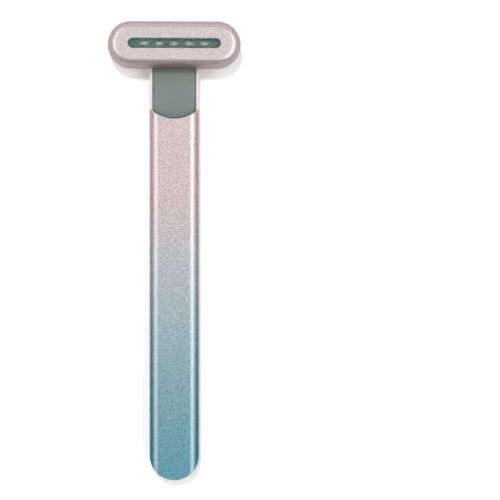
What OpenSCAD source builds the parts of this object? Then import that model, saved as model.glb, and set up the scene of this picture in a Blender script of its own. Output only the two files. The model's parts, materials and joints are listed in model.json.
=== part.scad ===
// Heated eye massager wand, lying on its back: +X across the handle, +Y towards the head,
// +Z out of the front face. The origin is the middle of the back, on the surface it lies on.

/* [Wand] */
// Overall length, from the foot to the top edge of the head
wand_len = 148.6; // [138:0.1:170]
// Clearance round a plastic piece that slides into the tube
slide_gap = 0.05; // [0.03:0.01:0.1]

/* [Handle tube] */
// Width of the tube
handle_w = 16; // [15.2:0.1:17]
// Thickness of the tube
handle_t = 10; // [10:0.1:12]
// Radius of the tube's four long edges
edge_r = 3.2; // [2.4:0.1:3.8]
// Wall of the tube
tube_wall = 0.9; // [0.7:0.05:1]
// Chamfer on the cut ends of the tube
cut_chamfer = 0.25; // [0.1:0.05:0.4]

/* [Neck] */
// Height of the two rails left beside the neck insert
rail_h = 5.5; // [5.3:0.1:6]
// Radius of the hollow arc where the front of the tube stops
neck_arc_r = 11.1; // [10.2:0.1:13]
// Gap between that arc and the end of the head when it is turned in line
neck_gap = 2.5; // [2:0.1:5]
// Height of the neck insert above the rails
insert_proud = 0.2; // [0.1:0.05:0.4]
// Seam between the insert's lid and each rail
lid_gap = 0.25; // [0.15:0.05:0.4]
// Thickness of the insert under its lid face
insert_roof = 1.6; // [1.5:0.1:1.8]
// Thickness of the bulkhead that closes the tube behind the arc
bulkhead_t = 1.6; // [1:0.1:2.4]

/* [Pivot] */
// Outside diameter of the pivot tube
pivot_d = 6; // [5:0.1:6.4]
// Bore of the pivot tube, for the wires
pivot_bore_d = 4; // [3:0.1:4.2]
// Running clearance of the base plate on the pivot tube, on the radius
pivot_gap = 0.05; // [0.02:0.01:0.1]
// Thickness of the pivot tube's flange
flange_t = 0.8; // [0.6:0.05:0.9]
// Thickness of the sliding washer under the head
washer_t = 0.3; // [0.2:0.05:0.5]
// Radius at which the stop pin travels
stop_r = 5.2; // [5.1:0.1:5.4]
// Diameter of the stop pin
stop_pin_d = 1.2; // [1:0.1:1.3]
// Turn of the head to each side
swing_deg = 90; // [60:1:90]

/* [Head] */
// Length of the head across the handle
head_span = 43; // [42:0.1:50]
// Width of the head along the handle
head_w = 15; // [15:0.1:17]
// Thickness of the head
head_t = 8; // [8:0.1:9]
// Radius of the head's front edge
head_edge_r = 2.8; // [2:0.1:3]
// Wall of the cap's sides
cap_wall = 1.6; // [1.5:0.05:1.7]
// Wall of the cap's rim round the base plate
rim_wall = 1.2; // [1:0.05:1.3]
// Thickness of the cap's heated face
face_t = 1.2; // [1:0.05:1.4]
// Thickness of the base plate
base_t = 1.4; // [1.2:0.05:1.6]
// Thickness of the gasket on the base plate
gasket_t = 0.5; // [0.4:0.05:0.6]

/* [Window] */
// Distance from the end of the head to the end of the window
window_margin = 6.5; // [6.3:0.1:9]
// Width of the window
window_w = 3.2; // [2.6:0.1:3.6]
// Chamfer round the window
window_chamfer = 0.3; // [0.1:0.05:0.5]
// Depth of the lens below the face
lens_recess = 0.4; // [0.1:0.05:0.6]
// Width of the lens flange that is bonded behind the face
lens_lap = 1.25; // [0.8:0.05:1.3]
// Number of light-emitting diodes
led_count = 5; // [3:1:5]
// Distance between the diodes
led_pitch = 4.85; // [4:0.05:5]
// Length, width and height of one diode
led_size = [3, 1.4, 0.8];

/* [Button] */
// Board left beyond the button, towards the head
button_end_gap = 1.6; // [1.2:0.1:12]
// Length of the button
button_l = 9.8; // [7:0.1:10]
// Width of the button
button_w = 4.4; // [3.6:0.1:5]
// Gap round the button in its hole
button_gap = 0.12; // [0.08:0.01:0.2]
// Depth of the button's face below the back of the tube
button_recess = 0.2; // [0.1:0.05:0.4]
// Travel of the button
button_travel = 0.25; // [0.15:0.05:0.25]

/* [Charging port] */
// Width of the socket's shell
usb_w = 8.94; // [8.9:0.02:9]
// Height of the socket's shell
usb_h = 3.26; // [3.2:0.02:3.3]
// Depth of the socket's shell
usb_len = 7.35; // [6.5:0.05:8]
// Length of the end plug along the tube
plug_len = 8.3; // [7.8:0.1:9]

/* [Inside] */
// Thickness of the main board
board_t = 1; // [0.8:0.05:1]
// Wall of the sled that carries the board and the cell
sled_wall = 0.8; // [0.6:0.05:0.8]
// Height of the sled's sides
sled_h = 6; // [5:0.1:7]
// Length of board kept for the chips
chip_bay_len = 33; // [31:0.5:40]
// Thickness of the foam pad under the cell
pad_t = 0.6; // [0.4:0.05:0.8]
// Diameter of the vibration motor
motor_d = 3.2; // [3:0.05:3.2]
// Length of the vibration motor
motor_len = 7; // [6:0.1:7]

/* [Hidden] */
$fn = 96;
cut = 1;             // how far a cut runs past the face that it opens
touch_gap = 0.1;     // play round a piece that is screwed or bonded in place
thread_gap = 0.02;   // play round a screw in the hole that it is driven into

// Handle, from the foot to the tongue under the head
foot_y = -wand_len / 2;
pivot_y = wand_len / 2 - head_w / 2;
end_ease = 0.05;                        // the round ends are this much fuller than a half circle
end_r = handle_w / 2 + end_ease;
foot_cy = foot_y + end_r;
pivot_lead = 0.85;                      // the pivot lies this far beyond the centre of the tongue's end
tongue_cy = pivot_y - pivot_lead;
tongue_y = tongue_cy + end_r;
inner_w = handle_w - 2 * tube_wall;
inner_t = handle_t - 2 * tube_wall;
inner_r = edge_r - tube_wall;
slide_w = inner_w - 2 * slide_gap;
slide_t = inner_t - 2 * slide_gap;
slide_r = inner_r - slide_gap;
slide_z = tube_wall + slide_gap;
plug_recess = 0.15;                     // end faces sit this far inside the tube's cut ends
plug_r = end_r - plug_recess;

// Neck
neck_low = pivot_y - head_span / 2 - neck_gap;
neck_cy = neck_low + neck_arc_r;
insert_tail = 4.8;                      // length of the insert inside the tube
insert_y = neck_low - insert_tail;
insert_top = rail_h + insert_proud;
lid_t = 0.8;
lid_chamfer = 0.15;
lid_w = inner_w - 2 * lid_gap;
roof_z = insert_top - insert_roof;
duct_w = inner_w - 2.4;                 // wire duct under the insert
duct_end_r = plug_r - 2;

// Pivot stack, from the flange up to the clip
flange_r = duct_end_r - touch_gap;
washer_r = stop_r - stop_pin_d / 2 - 0.2;
head_z = insert_top + washer_t;
base_top = head_z + base_t;
ledge_z = base_top + gasket_t;
clip_t = 0.5;
clip_r = 4.3;
clip_groove = 0.4;
cone_t = 0.25;
cone_r = 4.6;
pivot_top = ledge_z + clip_t + 0.2;
slot_w = stop_pin_d + 0.2;
slot_depth = 1;
slot_slack = 1;                         // degrees of turn left beyond each stop
screw_r = 0.7;
screw_head_r = 1.1;
screw_head_h = 0.7;
pivot_screw_tip = roof_z + 1;
pivot_screw_x = flange_r - screw_head_r - 0.9;
pivot_screw_back = stop_r + slot_w / 2 + screw_r + 0.4;    // behind the slot of the stop pin
flange_back = pivot_screw_back + screw_head_r + 0.3;       // from the pivot to the flange's back edge

// Head
face_z = head_z + head_t;
ceiling_z = face_z - face_t;
rim_l = head_span - 2 * rim_wall;
rim_w = head_w - 2 * rim_wall;
bay_l = head_span - 2 * cap_wall;
bay_w = head_w - 2 * cap_wall;
base_l = rim_l - 2 * touch_gap;
base_w = rim_w - 2 * touch_gap;
gasket_w = 0.9;
window_l = head_span - 2 * window_margin;
lens_gap = 0.05;
lens_l = window_l - 2 * lens_gap;
lens_w = window_w - 2 * lens_gap;
lens_flange_t = 0.9;
lens_flange_z = ceiling_z - lens_flange_t;
boss_r = 1.45;
boss_x = lens_l / 2 + lens_lap + 0.35 + boss_r;
boss_web = 1.2;
rim_chamfer = 0.2;
led_board_t = 0.8;
led_board_l = lens_l + 2 * lens_lap;
led_board_w = 5;
led_z = lens_flange_z - 0.1 - led_size.z;
led_board_z = led_z - led_board_t;
post_r = 1.2;
post_x = led_board_l / 2 - 3.7;
film_t = 0.25;
film_margin = 1.15;                     // from the cap's inner wall to the heater film
thermistor_size = [1.6, 0.8, 0.8];
thermistor_x = 8.2 - led_board_l / 2;
film_mid_y = -(bay_w / 2 - film_margin + lens_w / 2 + lens_lap) / 2;   // middle of the film's lower band

// Vibration motor, beside the diode board
motor_r = motor_d / 2;
motor_y = bay_w / 2 - motor_r - slide_gap;
motor_z = base_top + 1.9;
motor_end_gap = 4.9;                    // from the weight to the end wall of the cap
weight_l = 2;
weight_gap = 0.6;                       // from the motor's face to the weight
motor_x = bay_l / 2 - motor_end_gap - weight_l - weight_gap - motor_len;
shaft_r = 0.35;
shaft_gap = 0.05;
shaft_in = 3;
weight_r = 1.45;
weight_x = motor_x + motor_len + weight_gap;
weight_hub = 0.25;                      // metal left above the shaft
cradle_t = 1;
cradle_w = 2.8;
lead_r = 0.3;
lead_bend = 0.8;
motor_lead_out = 2.2;                   // how far behind the motor its nearer lead turns in
motor_lead_in = 1.6;                    // how far from the middle of the board both leads end
heater_lead_x = 3.2 - led_board_l / 2;
heater_lead_start = -1.8;
lead_step = 0.8;                        // distance between two leads

// Charging port and board
usb_wall = 0.3;
usb_gap = 0.08;
usb_mid_z = handle_t / 2;
usb_y = foot_cy - sqrt(pow(plug_r, 2) - pow(usb_w / 2 + usb_gap, 2)) + 0.2;
usb_tongue_w = 6.7;
usb_tongue_t = 0.7;
usb_block = 1.3;
plug_y = foot_y + plug_len;
board_top = usb_mid_z - usb_h / 2;
board_z = board_top - board_t;
usb_overhang = 5;                       // from the socket's mouth to the edge of the board
board_y = usb_y + usb_overhang;
board_end = insert_y - 2;
sled_gap = 0.1;
sled_out_w = inner_w - 2 * sled_gap;
sled_out_t = inner_t - 2 * sled_gap;
sled_r = inner_r - sled_gap;
sled_z = tube_wall + sled_gap;
sled_floor = sled_z + sled_wall;
sled_in_w = sled_out_w - 2 * sled_wall;
sled_y = plug_y + 1;
board_side = 0.4;                       // from the sled's side wall to the board and the cell
board_w = sled_in_w - 2 * board_side;
rib_w = board_w - 0.6;
rib_t = 1.2;
rib_pitch = 16;
rib_lead = 4;                           // from the start of the chips to the first rib
bay_y = usb_y + usb_len + 2.5;
bay_end = bay_y + chip_bay_len;
board_screw_r = 0.6;
board_screw_x = board_w / 2 - 1.6;
board_screw_at = [[-board_screw_x, bay_y + 2], [board_screw_x, bay_end - 2]];
board_screw_h = 0.6;
board_boss_r = 1.5;

// Parts soldered to the board: place from the start of the bay, then length, width and height
controller = [[1.6, 3.4], [4, 4, 0.9]];
charger = [[-2.6, 9.5], [3, 3, 0.9]];
coil = [[2.6, 10.2], [3.4, 3.4, 1.6]];
driver = [[3, 16.5], [1.7, 2.9, 1.1]];
driver_gap = 6;
memory = [[0, 23], [4.4, 5, 1]];
capacitor = [[-3, 28], [0.8, 1.6, 0.8]];
capacitor_pitch = 2;
capacitor_count = 4;

// Cell
cell_y = bay_end + 2.6;
cell_end = board_end - 3;
cell_w = sled_in_w - 2 * board_side;
cell_z = board_top + pad_t;
cell_top = handle_t - tube_wall - 0.3;  // leaves room for the cell to swell
cell_r = 1.2;
pad_inset = 5;
cell_lead_r = 0.45;
cell_lead_x = 2;
cell_lead_bend = 1.2;

// Wires to the head
bundle_r = 1;
bundle_bend = 2;
bundle_z = tube_wall + 0.2 + bundle_r;
bundle_top = led_board_z - 0.3;

// Button
button_y = board_end - button_end_gap - button_l / 2;
button_lap = 0.8;
button_flange_t = 0.4;
button_edge = 0.2;
button_chamfer = 0.3;
button_z = tube_wall + slide_gap;       // underside of the button's flange
button_top = button_z + button_flange_t;
switch_size = [4, 3, 0.65];
plunger_r = 0.8;
plunger_gap = 0.05;
plunger_top = board_z - button_travel - 0.1;

// ---- Shared shapes ----

// Rectangle with true arcs at its corners
module round_rect(w, h, r) {
    square([w, h - 2 * r], center = true);
    square([w - 2 * r, h], center = true);
    for (x = [-1, 1], y = [-1, 1])
        translate([x * (w / 2 - r), y * (h / 2 - r)]) circle(r);
}

// Outline with two straight sides and half-round ends, long along X
module stadium(l, w) {
    square([l - w, w], center = true);
    for (side = [-1, 1]) translate([side * (l - w) / 2, 0]) circle(d = w);
}

// Solid with half-round ends, long along X. The child is half of its cross-section:
// x is the distance from the middle line and y is the height.
module round_ended(l, w) {
    half = (l - w) / 2;
    translate([half, 0, 0]) rotate([0, 0, -90]) rotate_extrude(angle = 180) children();
    translate([-half, 0, 0]) rotate([0, 0, 90]) rotate_extrude(angle = 180) children();
    translate([-half, 0, 0]) rotate([90, 0, 90]) linear_extrude(2 * half) {
        children();
        mirror([1, 0]) children();
    }
}

// Bar with rounded long edges along Y, standing on the height z0
module bar_y(w, h, r, y0, y1, z0) {
    translate([0, y1, z0 + h / 2]) rotate([90, 0, 0]) linear_extrude(y1 - y0) round_rect(w, h, r);
}

// Plate of a given outline between two heights
module plate(z0, z1) {
    translate([0, 0, z0]) linear_extrude(z1 - z0) children();
}

// Disc with both edges chamfered
module chamfered_disc(r, h, c) {
    rotate_extrude() polygon([[0, 0], [r - c, 0], [r, c], [r, h - c], [r - c, h], [0, h]]);
}

// Outline of the tube's plan, from a round end to a straight line
module end_plan(r, cy, y1) {
    translate([0, cy]) circle(r);
    translate([-handle_w, min(cy, y1)]) square([2 * handle_w, abs(y1 - cy)]);
}

// Ring of rectangular section
module ring(r_in, r_out, z0, z1) {
    translate([0, 0, z0]) rotate_extrude() translate([r_in, 0]) square([r_out - r_in, z1 - z0]);
}

// Quarter of a bent wire, in the XY plane, from the X axis to the Y axis
module elbow(bend, r) {
    rotate_extrude(angle = 90) translate([bend, 0]) circle(r, $fn = 24);
}

// Straight wire along +X, +Y or +Z
module wire_x(l, r) { rotate([0, 90, 0]) cylinder(r = r, h = l, $fn = 24); }
module wire_y(l, r) { rotate([-90, 0, 0]) cylinder(r = r, h = l, $fn = 24); }
module wire_z(l, r) { cylinder(r = r, h = l, $fn = 24); }

// Screw whose head's underside is at the origin, with its shank pointing up
module screw(shank_r, length, head_r, head_h) {
    cylinder(r = shank_r, h = length);
    translate([0, 0, -head_h]) difference() {
        cylinder(r = head_r, h = head_h);
        translate([0, 0, -cut]) cylinder(r = head_r * 0.45, h = cut + head_h * 0.5, $fn = 6);
    }
}

// Children placed at the pivot, at both flange screws, or at both base plate screws
module at_pivot() { translate([0, pivot_y, 0]) children(); }

module at_pivot_screws() {
    for (side = [-1, 1]) at_pivot() translate([side * pivot_screw_x, -pivot_screw_back, 0]) children();
}

module at_bosses() {
    for (side = [-1, 1]) at_pivot() translate([side * boss_x, 0, 0]) children();
}

// ---- Handle ----

module button_outline(grow) {
    translate([0, button_y]) rotate(90) stadium(button_l + 2 * grow, button_w + 2 * grow);
}

module button_chamfer_cut() {
    half_w = button_w / 2 + button_gap;
    translate([0, button_y, 0]) rotate([0, 0, 90])
        round_ended(button_l + 2 * button_gap, 2 * half_w)
            polygon([[0, -cut], [half_w + button_chamfer + cut, -cut], [half_w, button_chamfer],
                [0, button_chamfer]]);
}

// Front of the tube milled away above the rails, up to the hollow arc
module neck_cut() {
    chamfer_z = handle_t - cut_chamfer;
    translate([0, neck_cy, rail_h]) cylinder(r = neck_arc_r, h = handle_t);
    translate([-handle_w, neck_cy, rail_h]) cube([2 * handle_w, wand_len, handle_t]);
    translate([0, neck_cy, chamfer_z])
        cylinder(r1 = neck_arc_r, r2 = neck_arc_r + cut_chamfer + cut, h = cut_chamfer + cut);
}

module handle_sleeve() {
    color("#b9b3bb") difference() {
        intersection() {
            bar_y(handle_w, handle_t, edge_r, foot_y - cut, tongue_y + cut, 0);
            union() {
                translate([-handle_w, foot_cy, -cut])
                    cube([2 * handle_w, tongue_cy - foot_cy, handle_t + 2 * cut]);
                for (cy = [foot_cy, tongue_cy])
                    translate([0, cy, 0]) chamfered_disc(end_r, handle_t, cut_chamfer);
            }
        }
        bar_y(inner_w, inner_t, inner_r, foot_y - 2 * cut, tongue_y + 2 * cut, tube_wall);
        neck_cut();
        plate(-cut, tube_wall + cut) button_outline(button_gap);
        button_chamfer_cut();
    }
}

module duct_plan() {
    translate([0, tongue_cy]) circle(duct_end_r);
    translate([-duct_w / 2, insert_y - cut]) square([duct_w, tongue_cy - insert_y + cut]);
}

module bulkhead() {
    intersection() {
        bar_y(slide_w, slide_t, slide_r, insert_y, neck_cy - neck_arc_r / 2, slide_z);
        translate([0, neck_cy, 0])
            ring(neck_arc_r + plug_recess, neck_arc_r + plug_recess + bulkhead_t,
                insert_top - lid_t, handle_t);
    }
}

// Slot in which the stop pin travels, with one end for each stop
module stop_slot() {
    sweep = 2 * (swing_deg + slot_slack + asin(stop_pin_d / 2 / stop_r));
    translate([0, 0, insert_top - slot_depth]) rotate([0, 0, -90 - sweep / 2])
        rotate_extrude(angle = sweep) translate([stop_r - slot_w / 2, 0]) square([slot_w, slot_depth + cut]);
}

// Lid of the insert, with both long edges chamfered
module insert_lid() {
    side = lid_w / 2;
    intersection() {
        translate([0, tongue_y, insert_top - lid_t]) rotate([90, 0, 0])
            linear_extrude(tongue_y - insert_y) polygon([[-side, 0], [side, 0],
                [side, lid_t - lid_chamfer], [side - lid_chamfer, lid_t],
                [lid_chamfer - side, lid_t], [-side, lid_t - lid_chamfer]]);
        plate(0, handle_t) end_plan(plug_r, tongue_cy, insert_y);
    }
}

module neck_insert() {
    color("#7e8a86") difference() {
        union() {
            intersection() {
                bar_y(slide_w, slide_t, slide_r, insert_y, tongue_y, slide_z);
                plate(0, insert_top - lid_t) end_plan(plug_r, tongue_cy, insert_y);
            }
            insert_lid();
            bulkhead();
        }
        plate(0, roof_z) duct_plan();
        at_pivot() cylinder(r = pivot_d / 2 + pivot_gap, h = handle_t);
        at_pivot() stop_slot();
        at_pivot_screws() cylinder(r = screw_r + thread_gap, h = pivot_screw_tip + touch_gap);
    }
}

module usb_outline(grow) {
    stadium(usb_w + 2 * grow, usb_h + 2 * grow);
}

// Extrudes a cross-section of the charging port from y0 to y1
module along_port(y0, y1) {
    translate([0, y1, usb_mid_z]) rotate([90, 0, 0]) linear_extrude(y1 - y0) children();
}

module end_plug() {
    color("#83898c") difference() {
        intersection() {
            bar_y(slide_w, slide_t, slide_r, foot_y, plug_y, slide_z);
            plate(0, handle_t) end_plan(plug_r, foot_cy, plug_y);
        }
        along_port(foot_y - cut, plug_y + cut) usb_outline(usb_gap);
        translate([-board_w / 2 - touch_gap, board_y - touch_gap, board_z - touch_gap])
            cube([board_w + 2 * touch_gap, plug_y - board_y + cut, board_t + 2 * touch_gap]);
    }
}

module battery_sled() {
    color("#34373b") difference() {
        union() {
            difference() {
                bar_y(sled_out_w, sled_out_t, sled_r, sled_y, board_end, sled_z);
                bar_y(sled_in_w, sled_out_t, sled_r - sled_wall, sled_y - cut, board_end + cut,
                    sled_floor);
                translate([-handle_w / 2, sled_y - cut, sled_z + sled_h])
                    cube([handle_w, wand_len, handle_t]);
            }
            for (y = [bay_y + rib_lead : rib_pitch : button_y - button_l / 2 - rib_pitch / 4])
                translate([-rib_w / 2, y, sled_floor - sled_wall / 2])
                    cube([rib_w, rib_t, board_z - sled_floor + sled_wall / 2]);
            for (p = board_screw_at)
                translate([p.x, p.y, sled_z + sled_wall / 2])
                    cylinder(r = board_boss_r, h = board_z - sled_z - sled_wall / 2);
        }
        for (p = board_screw_at)
            translate([p.x, p.y, sled_z + 0.1]) cylinder(r = board_screw_r + thread_gap, h = handle_t);
        plate(sled_z - cut, board_z + cut) button_outline(button_lap + 0.2);
    }
}

module main_board() {
    color("#1f6b45") difference() {
        translate([-board_w / 2, board_y, board_z]) cube([board_w, board_end - board_y, board_t]);
        for (p = board_screw_at)
            translate([p.x, p.y, board_z - cut])
                cylinder(r = board_screw_r + slide_gap, h = board_t + 2 * cut);
    }
}

module chip(part, shift = 0) {
    at = part[0];
    size = part[1];
    translate([at.x + shift - size.x / 2, bay_y + at.y - size.y / 2, board_top]) cube(size);
}

// Controller, charger, coil, two drivers, memory and a row of capacitors
module board_chips() {
    color("#2a2c2f") {
        for (part = [controller, charger, coil, memory]) chip(part);
        for (i = [0, 1]) chip(driver, -i * driver_gap);
        for (i = [0 : capacitor_count - 1]) chip(capacitor, i * capacitor_pitch);
    }
}

module battery_cell() {
    color("#b8bcc0") bar_y(cell_w, cell_top - cell_z, cell_r, cell_y, cell_end, cell_z);
}

module battery_pad() {
    color("#3a3a3c") translate([-cell_w / 2 + 0.8, cell_y + pad_inset, board_top])
        cube([cell_w - 1.6, cell_end - cell_y - 2 * pad_inset, pad_t]);
}

// Two leads from the end of the cell down to the board
module battery_leads() {
    z = (cell_z + cell_top) / 2;
    run = 1;
    color("#a8322c") for (side = [-1, 1]) translate([side * cell_lead_x, cell_end, 0]) {
        translate([0, 0, z]) wire_y(run, cell_lead_r);
        translate([0, run, z - cell_lead_bend]) rotate([90, 0, 90]) elbow(cell_lead_bend, cell_lead_r);
        translate([0, run + cell_lead_bend, board_top])
            wire_z(z - cell_lead_bend - board_top, cell_lead_r);
    }
}

// Sheathed wires from the board along the duct and up through the pivot tube
module head_leads() {
    color("#2d2d30") {
        translate([0, board_end, bundle_z]) wire_y(pivot_y - bundle_bend - board_end, bundle_r);
        translate([0, pivot_y - bundle_bend, bundle_z + bundle_bend])
            rotate([90, 0, 90]) rotate([0, 0, -90]) elbow(bundle_bend, bundle_r);
        translate([0, pivot_y, bundle_z + bundle_bend])
            wire_z(bundle_top - bundle_z - bundle_bend, bundle_r);
    }
}

module usb_shell() {
    color("silver") difference() {
        along_port(usb_y, usb_y + usb_len) usb_outline(0);
        along_port(usb_y - cut, usb_y + usb_len - usb_wall) usb_outline(-usb_wall);
    }
}

module usb_tongue() {
    back = usb_y + usb_len - usb_wall;
    color("#202124") {
        along_port(back - usb_block, back) usb_outline(-usb_wall - thread_gap);
        along_port(usb_y + 0.6, back - usb_block) square([usb_tongue_w, usb_tongue_t], center = true);
    }
}

module tact_switch() {
    color("#26282b") difference() {
        translate([-switch_size.x / 2, button_y - switch_size.y / 2, board_z - switch_size.z])
            cube(switch_size);
        translate([0, button_y, 0]) cylinder(r = plunger_r + plunger_gap, h = handle_t);
    }
}

module board_screws() {
    color("silver") for (p = board_screw_at)
        translate([p.x, p.y, board_top]) mirror([0, 0, 1])
            screw(board_screw_r, board_top - sled_z - 0.2, screw_head_r, board_screw_h);
}

// ---- Pivot ----

module pivot_tube() {
    groove_r = pivot_d / 2 - clip_groove;
    color("#c9ccd0") difference() {
        union() {
            at_pivot() plate(roof_z - flange_t, pivot_top) circle(d = pivot_d);
            plate(roof_z - flange_t, roof_z) intersection() {
                end_plan(flange_r, tongue_cy, pivot_y - flange_back);
                translate([-flange_r, pivot_y - flange_back]) square([2 * flange_r, handle_w]);
            }
        }
        at_pivot() cylinder(d = pivot_bore_d, h = 2 * handle_t);
        at_pivot() ring(groove_r, pivot_d / 2 + cut, ledge_z - slide_gap, ledge_z + clip_t + slide_gap);
        at_pivot_screws() translate([0, 0, roof_z - flange_t - cut])
            cylinder(r = screw_r + slide_gap, h = flange_t + 1.5 * cut);
    }
}

module pivot_washer() {
    color("#e8e6e0") at_pivot() ring(pivot_d / 2 + pivot_gap, washer_r, insert_top, head_z);
}

// Dished spring washer that gives the head its drag
module cone_washer() {
    r = pivot_d / 2 + touch_gap;
    color("#b5b8bc") at_pivot() rotate_extrude()
        polygon([[r, ledge_z - cone_t], [cone_r, base_top], [cone_r, base_top + cone_t], [r, ledge_z]]);
}

module pivot_clip() {
    mouth = pivot_d - 2 * clip_groove - 0.8;
    color("#8f9398") at_pivot() difference() {
        ring(pivot_d / 2 - clip_groove + slide_gap, clip_r, ledge_z, ledge_z + clip_t);
        translate([-mouth / 2, 0, ledge_z - cut]) cube([mouth, clip_r + cut, clip_t + 2 * cut]);
    }
}

module pivot_screws() {
    base = roof_z - flange_t;
    color("silver") at_pivot_screws() translate([0, 0, base])
        screw(screw_r, pivot_screw_tip - base, screw_head_r, screw_head_h);
}

// ---- Button ----

module power_button() {
    half_w = button_w / 2;
    color("#55595e") translate([0, button_y, 0]) rotate([0, 0, 90]) round_ended(button_l, button_w)
        polygon([[0, button_recess], [half_w - button_edge, button_recess],
            [half_w, button_recess + button_edge], [half_w, button_z], [half_w + button_lap, button_z],
            [half_w + button_lap, button_top], [0, button_top]]);
}

module switch_plunger() {
    color("#d8d4c8") translate([0, button_y, button_top])
        cylinder(r = plunger_r, h = plunger_top - button_top);
}

// ---- Head ----

// Half of the cap's cross-section, with the rounded front edge
module cap_section() {
    translate([0, head_z]) {
        square([head_w / 2 - head_edge_r, head_t]);
        polygon([[0, 0], [head_w / 2 - rim_chamfer, 0], [head_w / 2, rim_chamfer],
            [head_w / 2, head_t - head_edge_r], [0, head_t - head_edge_r]]);
        translate([head_w / 2 - head_edge_r, head_t - head_edge_r]) circle(head_edge_r);
    }
}

// Boss for a base plate screw, with a web to the end wall
module boss_plan(grow) {
    circle(boss_r + grow);
    translate([0, -boss_web / 2 - grow]) square([bay_l / 2 - boss_x + touch_gap, boss_web + 2 * grow]);
}

module window_cut() {
    half_w = window_w / 2;
    round_ended(window_l, window_w)
        polygon([[0, ceiling_z - cut], [half_w, ceiling_z - cut], [half_w, face_z - window_chamfer],
            [half_w + window_chamfer + cut, face_z + cut], [0, face_z + cut]]);
}

module head_cap() {
    color("#ddd0d0") difference() {
        union() {
            at_pivot() difference() {
                round_ended(head_span, head_w) cap_section();
                plate(head_z - cut, ledge_z) stadium(rim_l, rim_w);
                plate(head_z, ceiling_z) stadium(bay_l, bay_w);
                window_cut();
            }
            at_bosses() plate(base_top, ceiling_z + face_t / 2) circle(boss_r);
            for (side = [0, 180]) at_pivot() rotate([0, 0, side]) translate([boss_x, 0, 0])
                plate(ledge_z, ceiling_z + face_t / 2) boss_plan(0);
        }
        at_bosses() cylinder(r = screw_r + thread_gap, h = ceiling_z - 1);
    }
}

module window_lens() {
    half_w = lens_w / 2;
    color([0.36, 0.46, 0.44, 0.6]) at_pivot() round_ended(lens_l, lens_w)
        polygon([[0, lens_flange_z], [half_w + lens_lap, lens_flange_z], [half_w + lens_lap, ceiling_z],
            [half_w, ceiling_z], [half_w, face_z - lens_recess], [0, face_z - lens_recess]]);
}

module led_board() {
    color("#3f6f63") at_pivot() translate([-led_board_l / 2, -led_board_w / 2, led_board_z])
        cube([led_board_l, led_board_w, led_board_t]);
}

module led_chips() {
    color("#e8dfa0") at_pivot() for (i = [0 : led_count - 1])
        translate([(i - (led_count - 1) / 2) * led_pitch - led_size.x / 2, -led_size.y / 2, led_z])
            cube(led_size);
}

// Flat film glued behind the face, round the lens, with a notch for each boss
module heater_film() {
    color("#b06a2c") at_pivot() plate(ceiling_z - film_t, ceiling_z) difference() {
        stadium(bay_l - 2 * film_margin, bay_w - 2 * film_margin);
        stadium(lens_l + 2 * lens_lap + 0.4, lens_w + 2 * lens_lap + 0.4);
        for (side = [0, 180]) rotate(side) translate([boss_x, 0]) boss_plan(touch_gap);
    }
}

module thermistor() {
    color("#1d1d20") at_pivot()
        translate([thermistor_x - thermistor_size.x / 2, film_mid_y - thermistor_size.y / 2,
            ceiling_z - film_t - thermistor_size.z]) cube(thermistor_size);
}

// Two leads from the diode board up to the heater film
module heater_leads() {
    z = led_z + lead_r;
    run = heater_lead_start - film_mid_y - lead_bend;
    color("#a8322c") for (i = [0, 1]) at_pivot() translate([heater_lead_x + i * lead_step, 0, 0]) {
        translate([0, film_mid_y + lead_bend, z]) wire_y(run, lead_r);
        translate([0, film_mid_y + lead_bend, z + lead_bend]) rotate([90, 0, 90])
            rotate([0, 0, 180]) elbow(lead_bend, lead_r);
        translate([0, film_mid_y, z + lead_bend]) wire_z(ceiling_z - film_t - z - lead_bend, lead_r);
    }
}

module at_motor() { at_pivot() translate([0, motor_y, motor_z]) children(); }

module motor_can() {
    color("#aeb2b6") at_motor() difference() {
        translate([motor_x, 0, 0]) rotate([0, 90, 0]) cylinder(r = motor_r, h = motor_len);
        translate([motor_x + motor_len - shaft_in, 0, 0]) rotate([0, 90, 0])
            cylinder(r = shaft_r + shaft_gap, h = shaft_in + cut);
    }
}

module motor_shaft() {
    x0 = motor_x + motor_len - shaft_in + shaft_gap;
    color("silver") at_motor() translate([x0, 0, 0]) rotate([0, 90, 0])
        cylinder(r = shaft_r, h = weight_x + weight_l + 0.2 - x0);
}

// Off-centre weight, hanging below the shaft at rest
module motor_weight() {
    color("#6d7176") at_motor() difference() {
        translate([weight_x, 0, 0]) rotate([0, 90, 0]) cylinder(r = weight_r, h = weight_l);
        translate([weight_x - cut, 0, 0]) rotate([0, 90, 0])
            cylinder(r = shaft_r + thread_gap, h = weight_l + 2 * cut);
        translate([weight_x - cut, -weight_r - cut, shaft_r + weight_hub])
            cube([weight_l + 2 * cut, 2 * weight_r + 2 * cut, weight_r + cut]);
    }
}

// Two leads from the back of the motor, lying against the underside of the diode board
module motor_leads() {
    z = led_board_z - lead_r;
    color("#2b4f9a") for (i = [0, 1]) at_pivot() translate([0, 0, z]) {
        y = motor_y - lead_step / 2 + i * lead_step;
        x = motor_x - motor_lead_out - 1.5 * i * lead_step;
        translate([x + lead_bend, y, 0]) wire_x(motor_x - x - lead_bend, lead_r);
        translate([x + lead_bend, y - lead_bend, 0]) rotate([0, 0, 90]) elbow(lead_bend, lead_r);
        translate([x, motor_lead_in, 0]) wire_y(y - lead_bend - motor_lead_in, lead_r);
    }
}

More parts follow.
